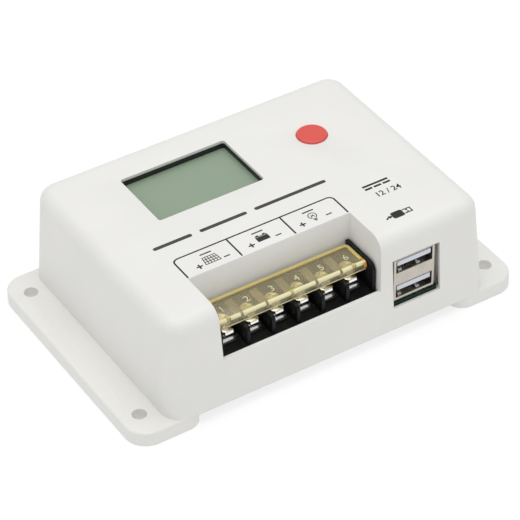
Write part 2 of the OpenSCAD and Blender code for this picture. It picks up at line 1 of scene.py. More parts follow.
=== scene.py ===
"""Looks of the solar charge controller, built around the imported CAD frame.

Lengths are in millimetres in the code that makes the pieces, and the mesh helpers turn them into metres.
Places come from the frame's own boxes and from the record's mounts.
"""
import json
import math

import bmesh
import bpy
from mathutils import Matrix, Vector


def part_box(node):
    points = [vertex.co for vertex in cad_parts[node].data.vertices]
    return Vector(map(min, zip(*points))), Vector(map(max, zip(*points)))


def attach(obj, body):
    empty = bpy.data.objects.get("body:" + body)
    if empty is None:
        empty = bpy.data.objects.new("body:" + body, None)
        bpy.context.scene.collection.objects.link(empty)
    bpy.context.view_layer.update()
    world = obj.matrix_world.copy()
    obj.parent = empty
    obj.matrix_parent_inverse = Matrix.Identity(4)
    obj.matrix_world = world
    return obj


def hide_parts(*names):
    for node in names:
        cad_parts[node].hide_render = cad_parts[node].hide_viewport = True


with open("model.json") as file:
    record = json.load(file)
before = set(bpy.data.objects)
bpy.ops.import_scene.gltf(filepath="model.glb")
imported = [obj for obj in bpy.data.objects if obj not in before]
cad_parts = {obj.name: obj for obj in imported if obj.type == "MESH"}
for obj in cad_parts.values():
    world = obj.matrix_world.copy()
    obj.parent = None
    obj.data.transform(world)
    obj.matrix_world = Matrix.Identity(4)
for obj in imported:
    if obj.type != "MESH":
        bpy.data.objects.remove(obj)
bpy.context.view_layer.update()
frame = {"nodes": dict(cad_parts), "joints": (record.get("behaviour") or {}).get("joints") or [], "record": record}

MM = 0.001


# ---------------------------------------------------------------- places from the frame
def node_box(name):
    low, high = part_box(name)
    return [v / MM for v in low], [v / MM for v in high]


def mount(name):
    return next(m for m in frame["record"]["mounts"] if m["name"] == name)


def middle(low, high, axis):
    return (low[axis] + high[axis]) / 2


HOUSING_LOW, HOUSING_HIGH = node_box("housing")
PLATE_LOW, PLATE_HIGH = node_box("base_plate")
BLOCK_LOW, BLOCK_HIGH = node_box("terminal_housing")
COVER_LOW, COVER_HIGH = node_box("terminal_cover")
SHELL_LOW, SHELL_HIGH = node_box("usb_shell")
BOARD_LOW, BOARD_HIGH = node_box("main_pcb")
BEZEL_LOW, BEZEL_HIGH = node_box("lcd_bezel")
CAP_LOW, CAP_HIGH = node_box("button_cap")
CLAMP_1_LOW = node_box("clamp_plate_1")[0]
CLAMP_2_LOW = node_box("clamp_plate_2")[0]
TOP = HOUSING_HIGH[2]
UNIT_L = HOUSING_HIGH[0] - HOUSING_LOW[0]
FEET = mount("feet_holes")
FOOT_T = FEET["pos_m"][2] / MM
HOLE_X = FEET["dims"]["spacing_x_mm"] / 2
HOLE_Y = FEET["dims"]["spacing_y_mm"] / 2
HOLE_R = FEET["dims"]["hole_r_mm"]
WAYS = 6
PITCH = CLAMP_2_LOW[0] - CLAMP_1_LOW[0]
BAY_CX = middle(BLOCK_LOW, BLOCK_HIGH, 0)
BUTTON = (middle(CAP_LOW, CAP_HIGH, 0), middle(CAP_LOW, CAP_HIGH, 1))
WINDOW = (middle(BEZEL_LOW, BEZEL_HIGH, 0), middle(BEZEL_LOW, BEZEL_HIGH, 1))
USB_CX = middle(SHELL_LOW, SHELL_HIGH, 0)

# Shell: its length is at the height of the flanges, and its walls lean in by TILT
RIM = PLATE_LOW[2]
CASE_L = 124.6
CASE_D = HOUSING_HIGH[1] - HOUSING_LOW[1]
TILT = math.tan(math.radians(3.46))
CORNER_R = 7.0
TOP_R = 5.5
WALL = 2.5
ROOF = 2.2
BOSS_X, BOSS_Y, BOSS_R = 45.5, 38.9, 3.4

# Feet: FOOT_GAP lies between their inner ends
FOOT_GAP = 99.0
FOOT_R = 8.0
FOOT_IN_R = 6.0
FOOT_EDGE = 0.8
SKIRT = 2.6
CORE_H = 2.4
HOLE_BOSS_R = 5.0
RIB_YS = (-18, 0, 18)
RIB_HALF = 0.8

# Terminal bay: LIP_Z is the top of the front wall below it
BAY_W = 60.4
BAY_BACK = -26.24
BAY_SIDE_TILT = math.tan(math.radians(2))
BAY_BACK_TILT = math.tan(math.radians(1.5))
LIP_Z = 22.5
BAY_WALL = 2.0
BAY_FLOOR = BOARD_HIGH[2] + 1.4

# Window, button hole and sockets' opening
WINDOW_W = 40.6
WINDOW_D = 26.0
WINDOW_R = 1.0
REBATE = 2.9
REBATE_R = 1.2
BUTTON_HOLE_R = 5.55
USB_X0 = 23.7
USB_X1 = 42.4
USB_Z0 = BOARD_LOW[2] - 0.1
USB_TOP = 32.6
USB_EDGE = 1.1
USB_RELIEF = 1.4
PORTS = ("usb_lower", "usb_upper")
PORT_H = 5.3

# Steps in a rounded corner, and a depth that is well in front of the case
ARC = 14
CLEAR = -60


def way_x(i):
    """Middle of way i, counted from 1 at the left."""
    return BAY_CX + PITCH * (i - (WAYS + 1) / 2)


def half_l(z):
    return CASE_L / 2 - TILT * (z - FOOT_T)


def half_d(z):
    return CASE_D / 2 - TILT * (z - FOOT_T)


# ---------------------------------------------------------------- procedural materials
class Look:
    """A Principled material whose colour, roughness and relief come from procedural nodes."""

    def __init__(self, name, **sockets):
        self.material = bpy.data.materials.new(name)
        self.material.use_nodes = True
        self.tree = self.material.node_tree
        self.shader = self.tree.nodes["Principled BSDF"]
        for socket, value in sockets.items():
            self.shader.inputs[socket.replace("_", " ")].default_value = value

    def node(self, kind, inputs=None, **settings):
        made = self.tree.nodes.new(kind)
        for key, value in settings.items():
            setattr(made, key, value)
        for key, value in (inputs or {}).items():
            made.inputs[key].default_value = value
        return made

    def link(self, source, target):
        self.tree.links.new(source, target)

    def place(self, stretch):
        """The point on the piece, which moves along with it, scaled along each axis."""
        coords = self.node("ShaderNodeTexCoord")
        mapping = self.node("ShaderNodeMapping", {"Scale": stretch})
        self.link(coords.outputs["Object"], mapping.inputs["Vector"])
        return mapping.outputs["Vector"]

    def noise(self, scale, detail=2.0, stretch=(1, 1, 1)):
        texture = self.node("ShaderNodeTexNoise", {"Scale": scale, "Detail": detail})
        self.link(self.place(stretch), texture.inputs["Vector"])
        return texture.outputs["Fac"]

    def cell_edges(self, scale, stretch):
        texture = self.node("ShaderNodeTexVoronoi", {"Scale": scale}, feature="DISTANCE_TO_EDGE")
        self.link(self.place(stretch), texture.inputs["Vector"])
        return texture.outputs["Distance"]

    def colour(self, factor, *stops):
        """Colours along a factor: stops are (position, (r, g, b)) with linear values."""
        ramp = self.node("ShaderNodeValToRGB")
        elements = ramp.color_ramp.elements
        while len(elements) < len(stops):
            elements.new(0.5)
        for element, (position, rgb) in zip(elements, stops):
            element.position = position
            element.color = (*rgb, 1)
        self.link(factor, ramp.inputs["Fac"])
        self.link(ramp.outputs["Color"], self.shader.inputs["Base Color"])
        return self

    def rough(self, factor, low, high):
        """Roughness between low and high, along the middle part of a factor."""
        spread = self.node("ShaderNodeMapRange",
                           {"From Min": 0.3, "From Max": 0.7, "To Min": low, "To Max": high})
        self.link(factor, spread.inputs["Value"])
        self.link(spread.outputs["Result"], self.shader.inputs["Roughness"])
        return self

    def relief(self, factor, height, strength=1.0):
        """Bumps of a height in millimetres."""
        bump = self.node("ShaderNodeBump", {"Strength": strength, "Distance": height * MM})
        self.link(factor, bump.inputs["Height"])
        self.link(bump.outputs["Normal"], self.shader.inputs["Normal"])
        return self


def shade(rgb, factor):
    return tuple(min(1.0, c * factor) for c in rgb)


def moulded(name, rgb, low, high, grain=0.012, spread=0.03, **sockets):
    """Moulded plastic: faint flow marks in the colour, an even spark-eroded grain in the surface."""
    look = Look(name, **sockets)
    look.colour(look.noise(45, 3.0), (0.35, shade(rgb, 1 - spread)), (0.65, shade(rgb, 1 + spread)))
    look.rough(look.noise(900, 3.0), low, high)
    look.relief(look.noise(3200, 3.0), grain)
    return look.material


def plated(name, rgb, low, high, stretch=(1, 1, 1), marks=0.004, **sockets):
    """Plated or brushed metal: fine drawn marks, and a dulling that comes and goes."""
    look = Look(name, Metallic=1.0, **sockets)
    look.colour(look.noise(260, 4.0), (0.3, shade(rgb, 0.9)), (0.7, shade(rgb, 1.04)))
    look.rough(look.noise(1400, 4.0, stretch), low, high)
    look.relief(look.noise(2600, 4.0, stretch), marks)
    return look.material


def board_look():
    """Green solder mask over tracks that stand a little proud."""
    look = Look("solder_mask", Specular_IOR_Level=0.12)
    tracks = look.cell_edges(330, (1, 0.45, 1))
    look.colour(tracks, (0.03, (0.004, 0.030, 0.014)), (0.09, (0.002, 0.014, 0.007)))
    look.rough(look.noise(500), 0.28, 0.42)
    look.relief(tracks, 0.03, 0.5)
    return look.material


def cover_look(name, rgb, haze, low, high):
    """Clear tinted plastic. haze is the share of light that it scatters."""
    look = Look(name, IOR=1.5, Transmission_Weight=1 - haze)
    look.colour(look.noise(60, 3.0), (0.3, shade(rgb, 0.96)), (0.7, shade(rgb, 1.03)))
    look.rough(look.noise(700, 3.0), low, high)
    look.relief(look.noise(1500, 2.0), 0.01)
    return look.material


def panel_look():
    """The switched-off display: a reflective film under glass, with faint clouds in its grey-green."""
    look = Look("display_film", IOR=1.5, Coat_Weight=0.35, Coat_Roughness=0.04)
    look.colour(look.noise(18, 2.0), (0.3, (0.255, 0.332, 0.243)), (0.7, (0.275, 0.358, 0.263)))
    look.rough(look.noise(5200, 2.0), 0.32, 0.44)
    look.relief(look.noise(6000, 2.0), 0.003)
    return look.material


def sleeve_look():
    """Shrink sleeve on the capacitors, with a pale stripe that runs up one side."""
    look = Look("can_sleeve", IOR=1.48)
    navy, stripe = (0.010, 0.016, 0.045), (0.30, 0.32, 0.36)
    look.colour(look.noise(90, 2.0, (1, 0.1, 0.02)), (0.44, navy), (0.50, stripe), (0.56, navy))
    look.rough(look.noise(700), 0.25, 0.4)
    look.relief(look.noise(1800), 0.01)
    return look.material


WHITE = moulded("white_abs", (0.80, 0.795, 0.765), 0.42, 0.56, grain=0.006, spread=0.012, IOR=1.5)
INK = moulded("print_ink", (0.012, 0.012, 0.013), 0.55, 0.7, grain=0.004, spread=0.25)
GREY_INK = moulded("print_ink_light", (0.045, 0.045, 0.047), 0.55, 0.7, grain=0.004, spread=0.2)
BLACK = moulded("black_pbt", (0.0045, 0.0048, 0.0050), 0.3, 0.46, grain=0.008, spread=0.2,
                Specular_IOR_Level=0.2)
BEZEL = moulded("bezel_black", (0.012, 0.012, 0.012), 0.4, 0.55, grain=0.008, spread=0.2)
RED = moulded("red_cap", (0.72, 0.092, 0.076), 0.3, 0.42, grain=0.006, spread=0.02, IOR=1.5)
CLEAR_YELLOW = cover_look("clear_yellow", (0.97, 0.87, 0.56), 0.14, 0.06, 0.16)
# Painted light: the ribs get a paler, hazier copy of the one cover plastic, so that they show as lighter bands.
RIB_LIT_YELLOW = cover_look("rib_yellow_painted_light", (0.95, 0.88, 0.62), 0.30, 0.10, 0.2)
# Painted highlight: the front rail and the skirt's lower edge get a pale, nearly opaque copy of the cover plastic.
RAIL_HIGHLIGHT_YELLOW = cover_look("rail_yellow_painted_highlight", (0.98, 0.92, 0.56), 0.80, 0.10, 0.2)
# The rim and knobs get a paler, more opaque gold copy of the cover plastic: its deeper tint is the thick plastic's
# own, its brightness is painted light caught inside the thick rim.
LIT_GOLD_YELLOW = cover_look("gold_yellow_painted_highlight", (0.88, 0.72, 0.26), 0.66, 0.10, 0.2)
# Painted highlight: the raised digits get a paler, hazier copy of the cover plastic, standing in for light along
# their outlines.
DIGIT_HIGHLIGHT_YELLOW = cover_look("digit_yellow_painted_highlight", (0.97, 0.92, 0.62), 0.60, 0.10, 0.2)
AMBER = cover_look("end_amber", (0.92, 0.44, 0.09), 0.6, 0.10, 0.2)
NICKEL = plated("bright_nickel", (0.97, 0.96, 0.94), 0.12, 0.2, (1, 3, 1))
TIN = plated("bright_tin", (0.97, 0.96, 0.94), 0.14, 0.22, (1, 4, 1))
USB_STEEL = plated("usb_steel", (0.53, 0.495, 0.435), 0.24, 0.38, (4, 1, 1))
USB_PLASTIC = moulded("usb_tongue", (0.66, 0.69, 0.76), 0.28, 0.4, grain=0.006, spread=0.02, IOR=1.52)
STEEL = plated("zinc_steel", (0.62, 0.63, 0.65), 0.28, 0.45)
ALUMINIUM = plated("anodised_sheet", (0.74, 0.75, 0.77), 0.4, 0.56, (1, 12, 1), marks=0.01)
BRASS = plated("turned_brass", (0.80, 0.60, 0.26), 0.2, 0.35, (1, 1, 8))
GOLD = plated("contact_gold", (0.95, 0.72, 0.30), 0.15, 0.28, (1, 5, 1))
COPPER = plated("enamelled_copper", (0.72, 0.30, 0.13), 0.2, 0.3, (1, 1, 6), Coat_Weight=0.6,
                Coat_Roughness=0.1)
FERRITE = moulded("ferrite", (0.045, 0.045, 0.048), 0.55, 0.75, grain=0.03, spread=0.3)
EPOXY = moulded("chip_epoxy", (0.020, 0.020, 0.022), 0.45, 0.6, grain=0.012, spread=0.25)
CERAMIC = moulded("ceramic_tan", (0.46, 0.33, 0.20), 0.4, 0.6, grain=0.01, spread=0.12)
PAD = moulded("gap_pad", (0.55, 0.45, 0.52), 0.6, 0.8, grain=0.03, spread=0.08)
DIFFUSER = moulded("diffuser", (0.80, 0.82, 0.80), 0.35, 0.5, grain=0.01, spread=0.02)
BOARD = board_look()
PANEL = panel_look()
SLEEVE = sleeve_look()


# ---------------------------------------------------------------- mesh helpers
SHARP = math.radians(40.0)


def smooth(obj):
    obj.data.shade_smooth()
    obj.data.set_sharp_from_angle(angle=SHARP)


def new_object(name, bm):
    """Turns a bmesh in millimetres into an object in metres."""
    bmesh.ops.recalc_face_normals(bm, faces=bm.faces)
    bmesh.ops.scale(bm, vec=(MM, MM, MM), verts=bm.verts)
    mesh = bpy.data.meshes.new(name)
    bm.to_mesh(mesh)
    bm.free()
    obj = bpy.data.objects.new(name, mesh)
    bpy.context.scene.collection.objects.link(obj)
    smooth(obj)
    return obj


def apply_modifiers(obj):
    deps = bpy.context.evaluated_depsgraph_get()
    mesh = bpy.data.meshes.new_from_object(obj.evaluated_get(deps))
    obj.modifiers.clear()
    old = obj.data
    obj.data = mesh
    bpy.data.meshes.remove(old)


def ring_faces(bm, low, high):
    count = len(low)
    for k in range(count):
        n = (k + 1) % count
        bm.faces.new((low[k], low[n], high[n], high[k]))


def corner_ring(length, depth, radii, arc=ARC):
    """Rounded rectangle, anticlockwise from the +X +Y corner, with a radius for each corner."""
    corners = ((1, 1), (-1, 1), (-1, -1), (1, -1))
    points = []
    for quarter, ((sx, sy), r) in enumerate(zip(corners, radii)):
        x, y = sx * (length / 2 - r), sy * (depth / 2 - r)
        for k in range(arc + 1):
            a = math.radians(90 * (quarter + k / arc))
            points.append((x + r * math.cos(a), y + r * math.sin(a)))
    return points


def rounded(length, depth, r, arc=ARC):
    return corner_ring(length, depth, (r, r, r, r), arc)


def stack(name, rings, centre=(0, 0)):
    """A closed solid through rings of equal length: each is (points, height)."""
    bm = bmesh.new()
    levels = [[bm.verts.new((x + centre[0], y + centre[1], z)) for x, y in points] for points, z in rings]
    for low, high in zip(levels, levels[1:]):
        ring_faces(bm, low, high)
    bm.faces.new(list(reversed(levels[0])))
    bm.faces.new(levels[-1])
    return new_object(name, bm)


def add_prism(bm, outline, low, high, plane="xy"):
    """An outline swept between two heights: in plane xy along Z, in plane yz along X."""
    levels = [[bm.verts.new((a, b, c) if plane == "xy" else (c, a, b)) for a, b in outline]
              for c in (low, high)]
    ring_faces(bm, levels[0], levels[1])
    bm.faces.new(list(reversed(levels[0])))
    bm.faces.new(levels[1])


def prism(name, outline, low, high, plane="xy"):
    bm = bmesh.new()
    add_prism(bm, outline, low, high, plane)
    return new_object(name, bm)


def rectangle(x0, y0, x1, y1):
    return [(x0, y0), (x1, y0), (x1, y1), (x0, y1)]


def block(name, low, high):
    return prism(name, rectangle(*low[:2], *high[:2]), low[2], high[2])


def disc(centre, r, sides=64):
    angles = [2 * math.pi * k / sides for k in range(sides)]
    return [(centre[0] + r * math.cos(a), centre[1] + r * math.sin(a)) for a in angles]


def rod(name, centre, r, low, high, plane="xy"):
    return prism(name, disc(centre, r), low, high, plane)


def combine(base, tool, operation):
    mod = base.modifiers.new("combine", "BOOLEAN")
    mod.operation = operation
    mod.solver = "MANIFOLD"
    mod.object = tool
    apply_modifiers(base)
    mesh = tool.data
    bpy.data.objects.remove(tool)
    bpy.data.meshes.remove(mesh)
    return base


def cut(base, tool):
    return combine(base, tool, "DIFFERENCE")


def join(base, tool):
    return combine(base, tool, "UNION")


def round_edges(obj, width, segments=3, angle=38.0):
    """Rounds the sharp edges by width, after merging doubled points and flat neighbours."""
    bm = bmesh.new()
    bm.from_mesh(obj.data)
    bmesh.ops.remove_doubles(bm, verts=bm.verts, dist=2e-6)
    bmesh.ops.dissolve_limit(bm, angle_limit=math.radians(0.4), verts=bm.verts, edges=bm.edges)
    bm.to_mesh(obj.data)
    bm.free()
    mod = obj.modifiers.new("round", "BEVEL")
    mod.width = width * MM
    mod.segments = segments
    mod.limit_method = "ANGLE"
    mod.angle_limit = math.radians(angle)
    mod.use_clamp_overlap = True
    apply_modifiers(obj)
    smooth(obj)
    return obj


def fit(obj, body, slot, material, *nodes):
    """Puts a finished piece on its body, with its finish and the CAD nodes that it stands for."""
    obj.data.materials.clear()
    obj.data.materials.append(material)
    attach(obj, body)
    if nodes:
        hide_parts(*nodes)
    return obj


def refined(node, width, body, slot, material, segments=2, lean=0.0):
    """A copy of a CAD node's mesh with rounded edges, which stands for that node.

    lean sets the top of its front end back, so that the end face looks up a little.
    """
    obj = bpy.data.objects.new(node + "_fine", frame["nodes"][node].data.copy())
    bpy.context.scene.collection.objects.link(obj)
    if lean:
        front = min(v.co.y for v in obj.data.vertices)
        top = max(v.co.z for v in obj.data.vertices)
        for vertex in obj.data.vertices:
            if vertex.co.y < front + MM and vertex.co.z > top - 0.1 * MM:
                vertex.co.y += lean * MM
    round_edges(obj, width, segments)
    return fit(obj, body, slot, material, node)


def repaint(material, *names):
    for name in names:
        data = frame["nodes"][name].data
        data.materials.clear()
        data.materials.append(material)


# ---------------------------------------------------------------- the case
def outer_body():
    rings = [(rounded(2 * half_l(RIM), 2 * half_d(RIM), CORNER_R), RIM)]
    first = math.atan(TILT)
    start_z = TOP - TOP_R + TOP_R * math.sin(first)
    for k in range(ARC + 1):
        a = first + (math.pi / 2 - first) * k / ARC
        inset = TOP_R * (math.cos(first) - math.cos(a))
        ring = rounded(2 * (half_l(start_z) - inset), 2 * (half_d(start_z) - inset), CORNER_R - inset)
        rings.append((ring, TOP - TOP_R + TOP_R * math.sin(a)))
    return stack("case_shell", rings)


def inner_room():
    low_z, high_z = RIM - 1, TOP - ROOF
    edge = TOP_R - ROOF
    rings = [(rounded(2 * (half_l(low_z) - WALL), 2 * (half_d(low_z) - WALL), CORNER_R - WALL), low_z)]
    steps = 6
    start_z = high_z - edge
    for k in range(steps + 1):
        a = math.pi / 2 * k / steps
        inset = WALL + edge * (1 - math.cos(a))
        ring = rounded(2 * (half_l(start_z) - inset), 2 * (half_d(start_z) - inset), CORNER_R - inset)
        rings.append((ring, start_z + edge * math.sin(a)))
    return stack("inner_room", rings)


def bay_room(grow, z0, z1):
    """The terminal bay from z0 to z1, with the draft of its walls, grown by the thickness of those walls."""
    levels = []
    for z in (z0, z1):
        dx = BAY_W / 2 + BAY_SIDE_TILT * (z - LIP_Z) + grow
        back = BAY_BACK - BAY_BACK_TILT * (TOP - z) + grow
        levels.append((rectangle(BAY_CX - dx, CLEAR, BAY_CX + dx, back), z))
    return stack("bay_room", levels)


def usb_relief():
    """Room behind the right edge of the sockets' opening, which leaves that edge USB_EDGE thick."""
    levels = []
    for z in (USB_Z0, USB_TOP):
        front = USB_EDGE - half_d(z)
        levels.append((rectangle(USB_X1 - 0.2, front, USB_X1 + USB_RELIEF, front + 2 * WALL), z))
    return stack("usb_relief", levels)


def foot(side):
    """A pad under the end of the case that runs out as a flange, cored from below."""
    length = (UNIT_L - FOOT_GAP) / 2
    centre = (side * (FOOT_GAP + length) / 2, 0)

    def outline(inset):
        radii = [(FOOT_R if sx == side else FOOT_IN_R) - inset for sx in (1, -1, -1, 1)]
        return corner_ring(length - 2 * inset, CASE_D - 2 * inset, radii)

    steps = 5
    rings = [(outline(0), 0), (outline(0), FOOT_T - FOOT_EDGE)]
    for k in range(1, steps + 1):
        a = math.pi / 2 * k / steps
        rings.append((outline(FOOT_EDGE * (1 - math.cos(a))), FOOT_T - FOOT_EDGE * (1 - math.sin(a))))
    pad = stack("foot", rings, centre)
    core = stack("core", [(outline(SKIRT), -1), (outline(SKIRT), CORE_H)], centre)
    for sy in (-1, 1):
        cut(core, rod("boss", (side * HOLE_X, sy * HOLE_Y), HOLE_BOSS_R, -2, CORE_H + 1))
    x0, x1 = centre[0] - length / 2, centre[0] + length / 2
    for y in RIB_YS:
        cut(core, block("rib", (x0, y - RIB_HALF, -2), (x1, y + RIB_HALF, CORE_H + 1)))
    return cut(pad, core)


def case_shell():
    """The whole moulding: hollow shell, bay, pocket for the terminal block, openings and feet."""
    shell = outer_body()
    room = inner_room()
    cut(room, bay_room(BAY_WALL, BAY_FLOOR, TOP + 1))
    for sx in (-1, 1):
        for sy in (-1, 1):
            cut(room, rod("boss", (sx * BOSS_X, sy * BOSS_Y), BOSS_R, PLATE_HIGH[2], TOP))
    cut(shell, room)
    cut(shell, bay_room(0, LIP_Z, TOP + 1))
    cut(shell, block("pocket", (BAY_CX - BAY_W / 2 + 0.1, BLOCK_LOW[1] - 0.2, BOARD_HIGH[2]),
                     (BAY_CX + BAY_W / 2 - 0.1, BLOCK_HIGH[1] + 0.15, LIP_Z + 0.1)))
    opening = rounded(WINDOW_W, WINDOW_D, WINDOW_R)
    cut(shell, stack("window", [(opening, z) for z in (TOP - ROOF - 3, TOP + 1)], WINDOW))
    seat = rounded(WINDOW_W + 2 * REBATE, WINDOW_D + 2 * REBATE, REBATE_R)
    cut(shell, stack("rebate", [(seat, z) for z in (TOP - ROOF - 1, BEZEL_HIGH[2] + 0.05)], WINDOW))
    cut(shell, rod("button_hole", BUTTON, BUTTON_HOLE_R, TOP - ROOF - 1, TOP + 1))
    cut(shell, block("usb_opening", (USB_X0, CLEAR, USB_Z0), (USB_X1, SHELL_HIGH[1], USB_TOP)))
    cut(shell, usb_relief())
    for side in (-1, 1):
        join(shell, foot(side))
    for sx in (-1, 1):
        for sy in (-1, 1):
            cut(shell, rod("screw_hole", (sx * HOLE_X, sy * HOLE_Y), HOLE_R, -1, FOOT_T + 1))
    round_edges(shell, 0.3, 3, 35)
    return fit(shell, "case", "white_plastic", WHITE, "housing")


# ---------------------------------------------------------------- printed marks on the top face
INK_LOW = TOP - 0.04
INK_HIGH = TOP + 0.02
PAIR_GAP = 19.6
SIGNS_Y = -23.1
LABELS_Y = -18.2
TITLE_Y = -7.6


def arc_points(centre, r, start, end, steps=8):
    """Points along an arc between two angles in degrees."""
    angles = [math.radians(start + (end - start) * k / steps) for k in range(steps + 1)]
    return [(centre[0] + r * math.cos(a), centre[1] + r * math.sin(a)) for a in angles]


def line_outline(points, width):
    """The outline of a line of even width through points, with mitred corners."""
    left, right = [], []
    for k, p in enumerate(points):
        here = Vector(p)
        before = (here - Vector(points[k - 1])).normalized() if k else None
        after = (Vector(points[k + 1]) - here).normalized() if k + 1 < len(points) else None
        along = ((before or after) + (after or before)).normalized()
        across = Vector((-along.y, along.x))
        reach = width / 2 / max(0.4, abs(along.dot(after or before)))
        left.append(tuple(here + across * reach))
        right.append(tuple(here - across * reach))
    return left + right[::-1]


def bar(cx, cy, w, h):
    return rectangle(cx - w / 2, cy - h / 2, cx + w / 2, cy + h / 2)


def pill(cx, cy, w, h):
    return [(cx + x, cy + y) for x, y in rounded(w, h, h / 2 - 0.01, 5)]


def plus(cx, cy, size, width):
    a, b = size / 2, width / 2
    corners = ((b, b), (b, a), (-b, a), (-b, b), (-a, b), (-a, -b),
               (-b, -b), (-b, -a), (b, -a), (b, -b), (a, -b), (a, b))
    return [(cx + x, cy + y) for x, y in corners]


def printed(name, outlines, material):
    bm = bmesh.new()
    for outline in outlines:
        add_prism(bm, outline, INK_LOW, INK_HIGH)
    return fit(new_object(name, bm), "case", "black_plastic", material)


def number_mesh(name, text, size, x, y, low, high, bold=0.0):
    """Plain digits as a closed mesh between two heights, centred on x, y. bold widens their strokes."""
    curve = bpy.data.curves.new(name, "FONT")
    curve.body = text
    curve.size = size
    curve.align_x = "CENTER"
    curve.align_y = "CENTER"
    curve.extrude = (high - low) / 2
    curve.resolution_u = 4
    curve.offset = bold
    holder = bpy.data.objects.new(name, curve)
    bpy.context.scene.collection.objects.link(holder)
    deps = bpy.context.evaluated_depsgraph_get()
    mesh = bpy.data.meshes.new_from_object(holder.evaluated_get(deps))
    bpy.data.objects.remove(holder)
    bpy.data.curves.remove(curve)
    bm = bmesh.new()
    bm.from_mesh(mesh)
    bpy.data.meshes.remove(mesh)
    bmesh.ops.remove_doubles(bm, verts=bm.verts, dist=0.002)
    bmesh.ops.translate(bm, vec=(x, y, (low + high) / 2), verts=bm.verts)
    return new_object(name, bm)


def terminal_frame_print():
    """Rounded frame behind the bay, with a divider between each pair of ways."""
    line, r = 0.6, 1.9
    half, divider = 30.55, 10.25
    top, end = -15.7, BAY_BACK + 0.45
    path = [(BAY_CX - half, end)] + arc_points((BAY_CX - half + r, top - r), r, 180, 90)
    path += arc_points((BAY_CX + half - r, top - r), r, 90, 0) + [(BAY_CX + half, end)]
    outlines = [line_outline(path, line)]
    for side in (-1, 1):
        x = BAY_CX + side * divider
        outlines.append(bar(x, (top - line / 2 + end) / 2, line, top - line / 2 - end))
    printed("print_terminal_frame", outlines, INK)


def polarity_print():
    outlines = []
    for k in (-1, 0, 1):
        cx = BAY_CX + PAIR_GAP * k
        outlines.append(plus(cx - 5.0, SIGNS_Y, 2.3, 0.58))
        outlines.append(bar(cx + 5.2, SIGNS_Y, 2.2, 0.52))
    printed("print_polarity_signs", outlines, INK)


def panel_icon():
    """A solar panel: a tilted grid of three rows and five columns."""
    cx, cy = BAY_CX - 19.5, -21.6
    low_w, high_w, height, line = 5.6, 4.7, 3.5, 0.3
    outlines = []
    rows, columns = 3, 5

    def edge(t):
        return low_w + (high_w - low_w) * t

    for j in range(rows + 1):
        t = j / rows
        outlines.append(bar(cx, cy + height * (t - 0.5), edge(t) + line, line))
    for j in range(rows):
        low, high = j / rows + line / 2 / height, (j + 1) / rows - line / 2 / height
        for i in range(columns + 1):
            s = i / columns - 0.5
            ends = [(cx + s * edge(t), cy + height * (t - 0.5)) for t in (low, high)]
            outlines.append(line_outline(ends, line))
    printed("print_panel_icon", outlines, INK)


def battery_icon():
    """A storage battery seen from the front, with its two posts and a pale seam."""
    cx, cy = BAY_CX + 0.1, -21.4
    half, seam, lid, post = 2.3, 0.9, 1.2, 1.7
    right = [(half, seam), (half, lid), (1.75, lid), (1.75, post), (0.75, post), (0.75, lid)]
    left = [(-x, y) for x, y in reversed(right)]
    cap = [(cx + x, cy + y) for x, y in left[-1:] + right + left[:-1]]
    outlines = [bar(cx, cy - 0.42, 2 * half, 2.3), cap]
    printed("print_battery_icon", outlines, INK)


def lamp_icon():
    """A lamp: open bulb, filament, and a cap of two rings and a tip."""
    cx, cy = BAY_CX + 19.7, -20.9
    bulb = arc_points((cx, cy), 1.45, -60, 240, 20)
    wire = [(cx + x, cy + y) for x, y in ((-0.6, -0.9), (-0.35, 0.25), (0, -0.25), (0.35, 0.25), (0.6, -0.9))]
    outlines = [line_outline(bulb, 0.32), line_outline(wire, 0.26)]
    base = ((1.75, 1.5, 0.36), (2.25, 1.3, 0.36), (2.7, 0.8, 0.3))
    outlines += [pill(cx, cy - drop, w, h) for drop, w, h in base]
    printed("print_lamp_icon", outlines, INK)


def plain_bars():
    """Plain bars where the front carries its words: a title line and one short label over each pictogram."""
    words = ((-44.2, -29.6), (-26.6, -8.6), (-5.6, 22.2))
    outlines = [pill((start + end) / 2, TITLE_Y, end - start, 1.5) for start, end in words]
    outlines += [pill(BAY_CX + PAIR_GAP * k, LABELS_Y, 4.4, 0.6) for k in (-1, 0, 1)]
    printed("print_plain_bars", outlines, GREY_INK)


def rating_print():
    """The direct-current sign, with the two nominal voltages as plain numbers below it."""
    cx, cy = 35.2, -18.5
    outlines = [bar(cx, cy + 0.8, 10.0, 0.9)]
    outlines += [bar(cx + k * 3.55, cy - 0.8, 2.9, 0.9) for k in (-1, 0, 1)]
    printed("print_direct_current_sign", outlines, INK)
    numbers = number_mesh("print_nominal_numbers", "12 / 24", 3.5, 36.6, -23.5, INK_LOW, INK_HIGH, 0.05)
    fit(numbers, "case", "black_plastic", INK)


def plug_icon():
    """A plain plug on a short lead, beside the sockets' opening."""
    cx, cy, line = 32.6, -35.6, 0.45
    body = rounded(4.4, 3.3, 0.8, 5)
    outlines = [[(cx - 0.6 + x, cy + y) for x, y in body]]
    base, end = cx + 1.75, cx + 4.6
    tip = [(base, cy + 1.0), (end, cy + 1.0), (end, cy - 1.0), (base, cy - 1.0)]
    outlines.append(line_outline(tip, line))
    outlines += [bar(cx + 3.1, cy + s * 0.45, 0.9, 0.45) for s in (-1, 1)]
    lead = [(cx - 2.9, cy), (cx - 4.0, cy)] + arc_points((cx - 4.0, cy - 1.2), 1.2, 90, 160, 6)
    outlines.append(line_outline(lead, 0.6))
    printed("print_plug_icon", outlines, INK)


